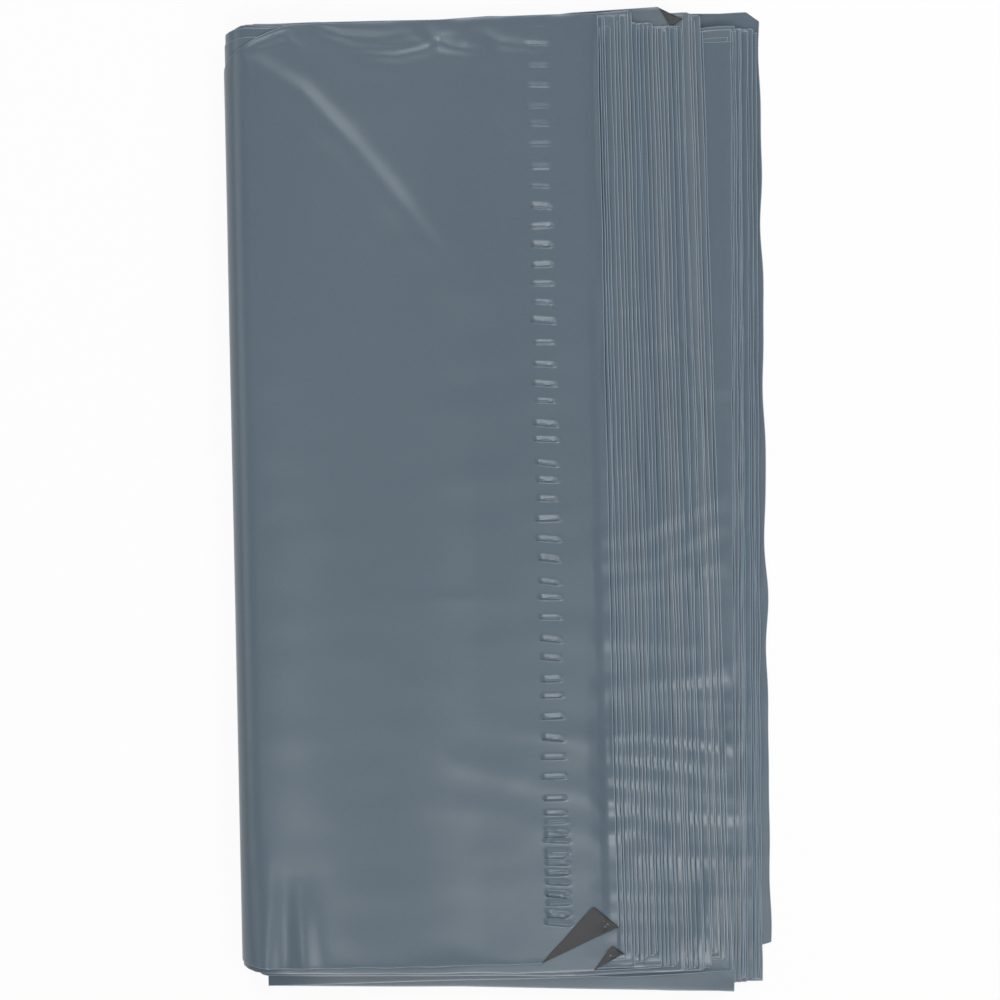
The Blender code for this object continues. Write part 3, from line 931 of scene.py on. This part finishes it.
def lower_lift(bag, x, y):
    """Lift that one bag's bottom edge and sides ask for on the lower half."""
    k = bag.number - 1
    source = random.Random(600 + bag.number)
    curl = source.uniform(*END_CURL) + END_CURL_WAVE * line_noise(y, 800 + bag.number, 0.05)
    lift = arch(x, y, end_lines[k], over_ends[k], np.clip(curl, 0.0001, None))
    a, b, s = bag.unfold(x, y, False)
    shown = np.clip((x - ENDS_SHOW_FROM) / OPEN_FADE, 0, 1)
    for sign in (-1, 1):
        to_side = np.abs(bag.half_at(s, sign) - sign * b)
        lift = np.maximum(lift, LOW_SIDE_CURL * shown * np.exp(-to_side / SIDE_REACH))
    return lift


# %% Lift of a whole bag
BEND_EASE = 0.02


def edge_lift(placed, flat, bag):
    """Raise a bag's points by the curls of its edges and of the bags under it."""
    x, y = placed[:, 0], placed[:, 1]
    upper, lower = np.zeros(len(x)), np.zeros(len(x))
    for other in bags[bag.number - 1:]:
        upper = np.maximum(upper, upper_lift(other, x, y))
    for other in bags[:bag.number]:
        lower = np.maximum(lower, lower_lift(other, x, y))
    out_of_bend = np.clip((x - BUNDLE_PLACE[0]) / BEND_EASE, 0, 1)
    on_top = bag.s_at(flat[:, 0], flat[:, 1]) > 0
    lifted = placed.copy()
    lifted[:, 2] += np.where(on_top, upper, lower) * out_of_bend
    return lifted


def edge_distance(flat, bag):
    """How far each place of the sheet is from the film's nearest cut edge."""
    a, b, _ = flat.T
    sides = np.minimum(side_gap(a, b, bag, 1), side_gap(a, b, bag, -1))
    return np.clip(np.minimum(np.minimum(a, bag.length - a), sides), 0, None)


probe = np.array([[0.001, 0.0, 0.0], [0.200, 0.0, 0.0]])
print("distance of two places from the cut edge, mm:", edge_distance(probe, bags[1]) * 1000)

# %% [markdown]
# ## Materials
#
# The film is satin grey outside and nearly black inside, as mailers are, so that
# nothing shows through. All the materials share two node groups: one gives the faint
# uneven haze that film picks up in handling, the other the fine unevenness of its
# surface. Each point of a bag also carries its distance from the cut edge, where the
# grey film gets a painted highlight that stands in for the light its rim catches, and a
# tone of its own, because the bags come from two batches.

# %% Node groups for film
GRAIN_SCALE = 900.0
GRAIN_SHARE = 1.3
HAZE_SPREAD = 0.04
FINE_GRAIN_SCALE = 1400.0


def shader_group(name, inputs, outputs):
    """An empty shader node group with named sockets."""
    group = bpy.data.node_groups.new(name, "ShaderNodeTree")
    for label, kind, value in inputs:
        socket = group.interface.new_socket(label, in_out="INPUT", socket_type=kind)
        if value is not None:
            socket.default_value = value
    for label, kind in outputs:
        group.interface.new_socket(label, in_out="OUTPUT", socket_type=kind)
    given = group.nodes.new("NodeGroupInput").outputs
    return group, given, group.nodes.new("NodeGroupOutput").inputs


def noise(tree, place, scale, detail):
    """A noise texture's value."""
    node = tree.nodes.new("ShaderNodeTexNoise")
    tree.links.new(place, node.inputs["Vector"])
    link_value(tree, node.inputs["Scale"], scale)
    node.inputs["Detail"].default_value = detail
    return node.outputs["Fac"]


def film_haze():
    """Tone and roughness of handled film."""
    group, given, out = shader_group(
        "film_haze",
        (("Place", "NodeSocketVector", None), ("Cloud Size", "NodeSocketFloat", 9.0),
         ("Amount", "NodeSocketFloat", 0.05)),
        (("Tone", "NodeSocketFloat"), ("Haze", "NodeSocketFloat")),
    )
    cloud = noise(group, given["Place"], given["Cloud Size"], 4)
    grain = noise(group, given["Place"], GRAIN_SCALE, 2)
    centred = math_node(group, "SUBTRACT", cloud, 0.5)
    fine = math_node(group, "MULTIPLY", math_node(group, "SUBTRACT", grain, 0.5), GRAIN_SHARE)
    both = math_node(group, "ADD", centred, fine)
    tone = math_node(group, "MULTIPLY_ADD", both, given["Amount"], 1.0)
    group.links.new(tone, out["Tone"])
    haze = math_node(group, "MULTIPLY_ADD", cloud, HAZE_SPREAD, -HAZE_SPREAD / 2)
    group.links.new(haze, out["Haze"])
    return group


def film_surface():
    """Height of the film's fine unevenness."""
    group, given, out = shader_group(
        "film_surface",
        (("Place", "NodeSocketVector", None), ("Ripple Size", "NodeSocketFloat", 40.0)),
        (("Height", "NodeSocketFloat"),),
    )
    ripple = noise(group, given["Place"], given["Ripple Size"], 3)
    grain = noise(group, given["Place"], FINE_GRAIN_SCALE, 2)
    height = math_node(group, "MULTIPLY_ADD", grain, 0.02, ripple)
    group.links.new(height, out["Height"])
    return group


haze_group = film_haze()
surface_group = film_surface()
print("node groups:", haze_group.name, surface_group.name)

# %% The materials
EDGE_HIGHLIGHT_BAND = (0.00042, 0.00012)       # where the painted highlight along the cut edge begins and is full
RELIEF = 0.0004


def group_node(tree, group, **values):
    """A node that holds a group, with its values."""
    node = tree.nodes.new("ShaderNodeGroup")
    node.node_tree = group
    for name, value in values.items():
        link_value(tree, node.inputs[name.replace("_", " ")], value)
    return node.outputs


def film_material(name, colour, roughness, haze, bump, edge=0.0, other_batch=None):
    """Polyethylene film with a painted highlight along its cut edges, as strong as edge. Some bags
    are of another batch.
    """
    material = bpy.data.materials.new(name)
    material.use_nodes = True
    tree = material.node_tree
    shader = tree.nodes["Principled BSDF"]
    place = tree.nodes.new("ShaderNodeTexCoord").outputs["Object"]
    handled = group_node(tree, haze_group, Place=place, Amount=haze)
    tint = tree.nodes.new("ShaderNodeVectorMath")
    tint.operation = "SCALE"
    batch = tree.nodes.new("ShaderNodeAttribute")
    batch.attribute_name = "batch_share"
    either = tree.nodes.new("ShaderNodeMix")
    either.data_type = "RGBA"
    tree.links.new(batch.outputs["Fac"], either.inputs["Factor"])
    either.inputs["A"].default_value = (*colour, 1)
    either.inputs["B"].default_value = (*(other_batch or colour), 1)
    tree.links.new(either.outputs["Result"], tint.inputs[0])
    near = tree.nodes.new("ShaderNodeAttribute")
    near.attribute_name = "to_edge"
    # painted highlight: the base colour grows lighter within half a millimetre of each cut edge,
    # standing in for the light the rim catches
    cut = smooth_step(tree, near.outputs["Fac"], *EDGE_HIGHLIGHT_BAND)
    painted_edge_highlight = math_node(tree, "MULTIPLY_ADD", cut, edge, 1.0)
    tone = math_node(tree, "MULTIPLY", handled["Tone"], painted_edge_highlight)
    tree.links.new(tone, tint.inputs["Scale"])
    tree.links.new(tint.outputs[0], shader.inputs["Base Color"])
    tree.links.new(math_node(tree, "ADD", handled["Haze"], roughness), shader.inputs["Roughness"])
    relief = tree.nodes.new("ShaderNodeBump")
    relief.inputs["Strength"].default_value = bump
    relief.inputs["Distance"].default_value = RELIEF
    tree.links.new(group_node(tree, surface_group, Place=place)["Height"], relief.inputs["Height"])
    tree.links.new(relief.outputs[0], shader.inputs["Normal"])
    shader.inputs["IOR"].default_value = 1.5
    return material


# 0.9 is the strength of the painted highlight along the grey film's cut edges
grey_film = film_material("grey_film", (0.090, 0.125, 0.157), 0.295, 0.12, 0.35, 0.9,
                          (0.112, 0.141, 0.168))
dark_film = film_material("dark_film", (0.025, 0.026, 0.029), 0.50, 0.08, 0.35)
release_film = film_material("release_film", (0.62, 0.64, 0.66), 0.45, 0.03, 0.2)
print("materials:", grey_film.name, dark_film.name, release_film.name)

# %% [markdown]
# ## The bags
#
# Each bag goes through the same steps: mesh it flat, cut its creases, run the ladder
# of puckers on the outermost one, wave its edges, turn its corners over, fold it, lift
# its edges, and warp it with the bundle. The piece then stands for its solid.

# %% Meshes and what they carry
BATCH_RANGE = (-0.3, 1.0)       # below 0 a bag is of the first batch


def new_mesh(name, points, faces):
    """A mesh from points and faces."""
    mesh = bpy.data.meshes.new(name)
    mesh.from_pydata([tuple(p) for p in points], [], [list(map(int, f)) for f in faces])
    return mesh


def mesh_points(mesh):
    """A mesh's vertices as an array."""
    points = np.empty(len(mesh.vertices) * 3)
    mesh.vertices.foreach_get("co", points)
    return points.reshape(-1, 3)


def add_uv(mesh, flat):
    """The film's own map: across and along the bag, in metres."""
    layer = mesh.uv_layers.new(name="film_map")
    loops = np.empty(len(mesh.loops), dtype=int)
    mesh.loops.foreach_get("vertex_index", loops)
    layer.data.foreach_set("uv", flat[loops][:, [1, 0]].ravel())


def add_marks(mesh, flat, bag):
    """Keep each point's distance from the cut edge, which places the painted edge highlight, and the
    bag's own tone, for the materials.
    """
    layer = mesh.attributes.new("to_edge", "FLOAT", "POINT")
    layer.data.foreach_set("value", edge_distance(flat, bag))
    batch = mesh.attributes.new("batch_share", "FLOAT", "POINT")
    own = random.Random(500 + bag.number).uniform(*BATCH_RANGE)
    if bag.number in (1, BAG_COUNT):
        own = 0.0
    batch.data.foreach_set("value", np.full(len(flat), max(own, 0.0)))


def paint_inner(mesh, flat):
    """Give the lip's inner face the film's dark side."""
    for face in mesh.polygons:
        spots = flat[list(face.vertices)]
        inside = spots[:, 2].max() < OUTER_FACE - FILM / 2
        face.material_index = 1 if inside and spots[:, 0].max() <= LIP_LENGTH + 1e-6 else 0


# %% The flat sheets of the outermost bag and of a plain one
PUCKER_ROWS = spread(0.0190, 0.0350, 0.0010)
OUTER_LIP_ROWS = list(EDGE_STEPS) + spread(0.0045, 0.017, 0.002) + PUCKER_ROWS
OUTER_LIP_ROWS += spread(0.037, 0.049, 0.002) + [LIP_LENGTH, LIP_LENGTH + MOUTH_STEP]
FINE_PANELS = 4         # bags before this number have closer rows, because they show
LIP_FINE_TO = 0.007
END_FINE_FROM = 0.004


def outer_sheet(bag):
    """The outermost bag, with close points under the puckers."""
    rows = flat_rows(bag, OUTER_LIP_ROWS, 0.0025, 20, 0.010, END_ROWS)
    return flat_sheet(bag, rows, SHARES_FINE,
                      lambda row: 4 if row[0] == "a" and row[1] in PUCKER_ROWS else 1)


def plain_sheet(bag):
    """Any other bag, with finer steps along its lip and its bottom edge."""
    def fineness(row):
        edge_row = row[1] < LIP_FINE_TO or row[1] > bag.length - END_FINE_FROM
        return 2 if row[0] == "a" and edge_row else 1

    panel_step = 0.012 if bag.number < FINE_PANELS else 0.030
    rows = flat_rows(bag, LIP_ROWS, panel_step, 8, 0.030, END_ROWS)
    return flat_sheet(bag, rows, SHARES_PLAIN, fineness)


print("rows on the outermost lip:", len(OUTER_LIP_ROWS), "and on a plain one:", len(LIP_ROWS))

# %% The ladders of puckers
# start and end of the ridges against the liner's, upper end, and the tree's own values
LADDERS = (
    (0.0008, 0.0002, bags[0].half_width - LINER_MARGIN_TOP,
     {"Spacing": 0.0089, "Steepness": 0.78, "Seed": 4}),
    (-0.0004, 0.0004, -0.146,
     {"Spacing": 0.0046, "Steepness": 0.55, "Seed": 21}),
)


def raise_puckers(mesh, bag):
    """The mesh with both ladders raised on it."""
    for start, stop, high_end, values in LADDERS:
        mesh = run_tree(mesh, ladder, {
            "Strip Start": LINER_FROM_LIP + start,
            "Strip End": LINER_FROM_LIP + LINER_WIDTH + stop,
            "Low End": -bag.half_width + LINER_MARGIN_BOTTOM,
            "High End": high_end,
            "Film": grey_film,
            **values,
        })
    return mesh


print("ladders:", len(LADDERS))

# %% Making one bag
SHARP_ANGLE = math.radians(50)


def make_bag(bag):
    """One bag as a folded sheet of film."""
    name = f"film_bag_{bag.number:02d}"
    points, faces = outer_sheet(bag) if bag.number == 1 else plain_sheet(bag)
    mesh = new_mesh(name + "_flat", points, faces)
    cut_creases(mesh, bag)
    base = mesh_points(mesh)
    if bag.number == 1:
        mesh = raise_puckers(mesh, bag)
    raised = mesh_points(mesh)
    placed = edge_lift(bag.place(turn_corners(soften_edges(raised, bag), bag)), base, bag)
    mesh.vertices.foreach_set("co", warp(placed, bag.number == 1).ravel())
    mesh.name = name
    mesh.materials.clear()
    mesh.materials.append(grey_film)
    mesh.materials.append(dark_film)
    paint_inner(mesh, base)
    add_uv(mesh, base)
    add_marks(mesh, base, bag)
    mesh.shade_smooth()
    mesh.set_sharp_from_angle(angle=SHARP_ANGLE)
    mesh.update()
    piece = bpy.data.objects.new(name, mesh)
    bpy.context.collection.objects.link(piece)
    return piece


# %% [markdown]
# The liner is a thin strip with a ring of points at each step along it. Under the
# outermost lip the steps are small, so that the strip follows every wave of the film
# above it and never touches through.

# %% Making one liner
OUTER_LINER_STEP = 0.0015
LINER_STEP = 0.008
ACROSS_TO_ALONG = 1.6


def make_liner(bag):
    """The release liner under one lip."""
    name = f"liner_{bag.number:02d}"
    low, high = -bag.half_width + LINER_MARGIN_BOTTOM, bag.half_width - LINER_MARGIN_TOP
    step = OUTER_LINER_STEP if bag.number == 1 else LINER_STEP
    b = np.array(spread(low, high, step))
    columns = spread(LINER_FROM_LIP, LINER_FROM_LIP + LINER_WIDTH, ACROSS_TO_ALONG * step)
    top = LIP_INNER_FACE - ADHESIVE
    loops = []
    corners = [(a, top) for a in columns] + [(a, top - LINER_THICKNESS) for a in columns[::-1]]
    for a, n in corners:
        loops.append(np.stack((np.full_like(b, a), b, np.full_like(b, n)), axis=1))
    flat = np.concatenate(loops)
    count = len(b)
    faces = []
    for k in range(len(corners)):
        first, second = k * count, (k + 1) % len(corners) * count
        for j in range(count - 1):
            faces.append((first + j, second + j, second + j + 1, first + j + 1))
    faces.append([k * count for k in range(len(corners))][::-1])
    faces.append([k * count + count - 1 for k in range(len(corners))])
    placed = edge_lift(bag.place(flat), flat, bag)
    mesh = new_mesh(name, warp(placed, bag.number == 1), faces)
    mesh.materials.append(release_film)
    add_uv(mesh, flat)
    piece = bpy.data.objects.new(name, mesh)
    bpy.context.collection.objects.link(piece)
    return piece


# %% The whole bundle
triangles = 0
largest = 0
worst = 0.0
for bag in bags:
    number = bag.number
    sheet = make_bag(bag)
    liner = make_liner(bag)
    for piece, node, slot in ((sheet, f"mailer_bag_{number:02d}", "grey_film"),
                              (liner, f"release_liner_{number:02d}", "release_film")):
        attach(piece, "root")
        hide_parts(node)
        points = mesh_points(piece.data)
        low, high = (np.array(corner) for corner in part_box(node))
        gap = max(np.abs(points.min(0) - low).max(), np.abs(points.max(0) - high).max())
        worst = max(worst, gap)
        own = sum(len(face.vertices) - 2 for face in piece.data.polygons)
        triangles += own
        largest = max(largest, own)
print("triangles:", triangles, "in the largest piece:", largest)
print("largest distance from a solid's box, mm:", round(worst * 1000, 2))

# %% [markdown]
# ## The floor
#
# The bundle lies on plain white. The floor's own colour is white, and part of what the
# camera sees of it is its own light, so it comes out white and still keeps the soft
# shadow under the bundle.

# %% Floor
FLOOR_GLOW = 0.92
FLOOR_DROP = 0.0002
HALF_FLOOR = 4


def floor_material():
    """White paper that keeps a faint shadow."""
    material = bpy.data.materials.new("white_floor")
    material.use_nodes = True
    tree = material.node_tree
    tree.nodes.clear()
    diffuse = tree.nodes.new("ShaderNodeBsdfDiffuse")
    diffuse.inputs["Color"].default_value = (0.80, 0.80, 0.80, 1)
    glow = tree.nodes.new("ShaderNodeEmission")
    glow.inputs["Strength"].default_value = 1.0
    path = tree.nodes.new("ShaderNodeLightPath")
    seen = math_node(tree, "MAXIMUM", path.outputs["Is Camera Ray"], path.outputs["Is Glossy Ray"])
    seen = math_node(tree, "MAXIMUM", seen, path.outputs["Is Transmission Ray"])
    mix = tree.nodes.new("ShaderNodeMixShader")
    tree.links.new(math_node(tree, "MULTIPLY", seen, FLOOR_GLOW), mix.inputs[0])
    tree.links.new(diffuse.outputs[0], mix.inputs[1])
    tree.links.new(glow.outputs[0], mix.inputs[2])
    out = tree.nodes.new("ShaderNodeOutputMaterial")
    tree.links.new(mix.outputs[0], out.inputs[0])
    return material


corners = [(x * HALF_FLOOR, y * HALF_FLOOR, 0) for x, y in ((-1, -1), (1, -1), (1, 1), (-1, 1))]
floor_mesh = new_mesh("floor", corners, [(0, 1, 2, 3)])
floor_mesh.materials.append(floor_material())
floor = bpy.data.objects.new("floor", floor_mesh)
bpy.context.collection.objects.link(floor)
floor.location.z = -FLOOR_DROP
print("the floor is", 2 * HALF_FLOOR, "m wide")

# %% [markdown]
# ## Light
#
# The photograph's light is soft and comes from lamps on all sides of the table, weakest
# from the fold. Film that lies flat mirrors none of them to the camera. Where it is
# wavy, as low down on the lips, it catches one and shines. Area lamps do that, and a
# pale world fills the shadows.

# %% Lamps and world
def area_lamp(name, place, target, size, power):
    """A square lamp aimed at a point."""
    lamp = bpy.data.lights.new(name, "AREA")
    lamp.shape = "SQUARE"
    lamp.size = size
    lamp.energy = power
    holder = bpy.data.objects.new(name, lamp)
    holder.location = place
    holder.rotation_euler = (Vector(target) - Vector(place)).to_track_quat("-Z", "Y").to_euler()
    bpy.context.collection.objects.link(holder)
    return holder


# name, place, what it is aimed at, size, watts
LAMPS = (
    ("open_side_lamp", (1.15, -0.40, 1.5), (0, 0, 0), 0.75, 8),
    ("far_corner_lamp", (0.80, 0.85, 1.5), (0, 0, 0), 0.75, 7),
    ("far_lamp", (-0.20, 1.10, 1.5), (0, 0, 0), 0.48, 7),
    ("near_lamp", (0.0, -1.07, 2.2), (0, 0, 0), 0.6, 13),
    ("high_lamp", (-0.023, -0.328, 2.2), (0.07, -0.115, 0), 0.35, 0.9),
    ("fold_side_lamp", (-1.6, 0.1, 0.9), (0, 0, 0), 0.9, 3),
)
for lamp_values in LAMPS:
    area_lamp(*lamp_values)
WORLD_LIGHT = 0.345
world = bpy.data.worlds.new("pale_world")
bpy.context.scene.world = world
world.use_nodes = True
sky = world.node_tree.nodes["Background"]
sky.inputs["Color"].default_value = (1, 1, 1, 1)
sky.inputs["Strength"].default_value = WORLD_LIGHT
print("lamps:", len(LAMPS))

# %% [markdown]
# ## Camera
#
# The photograph looks almost straight down, from about 1.6 metres, with a long lens.
# The bundle's fold leans by about one degree in the frame.

# %% Camera
LEAN = math.radians(1.0956)
VIEW_CENTRE = Vector((-0.00042, 0.00149, 0.0))
VIEW_DISTANCE = 1.6221
TILT_RIGHT = math.radians(4.859)
TILT_UP = math.radians(1.494)
SENSOR = 36.0
FOCAL_PIXELS = 3566.7
IMAGE_PIXELS = 1000

right = Vector((math.cos(LEAN), -math.sin(LEAN), 0))
up = Vector((math.sin(LEAN), math.cos(LEAN), 0))
back = right * math.sin(TILT_RIGHT) + up * math.sin(TILT_UP)
back.z = math.sqrt(1 - back.length_squared)
side = up.cross(back).normalized()
head = back.cross(side)
lens = bpy.data.cameras.new("photo_camera")
lens.sensor_width = SENSOR
lens.lens = FOCAL_PIXELS / IMAGE_PIXELS * SENSOR
lens.clip_end = 20
camera = bpy.data.objects.new("photo_camera", lens)
bpy.context.collection.objects.link(camera)
axes = np.array((side, head, back)).T
camera.location = VIEW_CENTRE + back * VIEW_DISTANCE
camera.rotation_euler = Matrix(axes.tolist()).to_euler()
bpy.context.scene.camera = camera
bpy.context.scene.view_settings.view_transform = "Standard"
print("focal length, mm:", round(lens.lens, 1))
